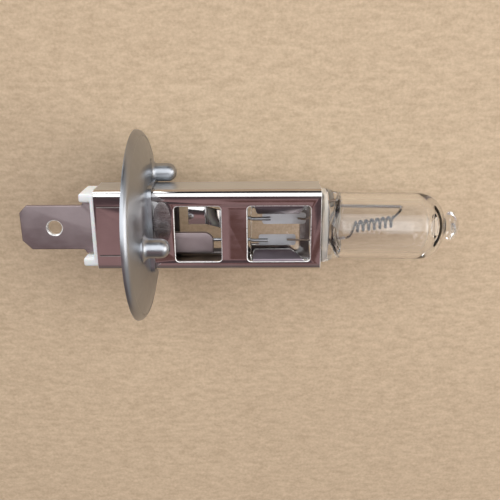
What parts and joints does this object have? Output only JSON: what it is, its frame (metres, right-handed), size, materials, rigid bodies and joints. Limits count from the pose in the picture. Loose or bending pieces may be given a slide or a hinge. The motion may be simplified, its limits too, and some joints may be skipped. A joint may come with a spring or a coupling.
{
  "type": "headlight bulb",
  "caption": "Single-filament halogen headlight capsule in a folded metal sleeve base with a round focus flange, locating bosses and a blade terminal.",
  "frame": {"origin": "centre of the bounding box, on the bulb's axis; the reference plane of the three bosses is 8.9 mm towards the blade from it", "axes": "+X along the bulb's axis from the blade towards the glass tip, +Z the outward normal of a windowed face of the sleeve, +Y completes the set"},
  "size_m": [0.0608, 0.0266, 0.0266],
  "materials": {
    "blade_steel": "tin-plated steel, fine rolled grain, coined edges",
    "ceramic": "unglazed white steatite",
    "sleeve_steel": "nickel-plated sheet, bright with fine scuffs",
    "flange_steel": "nickel-plated pressed steel, satin",
    "quartz": "clear fused quartz, fire polished",
    "molybdenum": "drawn wire and rolled foil, grey",
    "tungsten": "drawn wire, dark grey"
  },
  "bodies": {
    "root": {"terminal_blade": "blade_steel", "ceramic_insulator": "ceramic", "base_sleeve": "sleeve_steel", "focus_flange": "flange_steel", "quartz_envelope": "quartz", "foil_upper": "molybdenum", "foil_lower": "molybdenum", "inner_lead_long": "molybdenum", "inner_lead_short": "molybdenum", "outer_lead_upper": "molybdenum", "outer_lead_lower": "molybdenum", "overwind_long": "tungsten", "overwind_short": "tungsten", "filament_coil": "tungsten", "ground_strap": "sleeve_steel"}
  },
  "joints": []
}
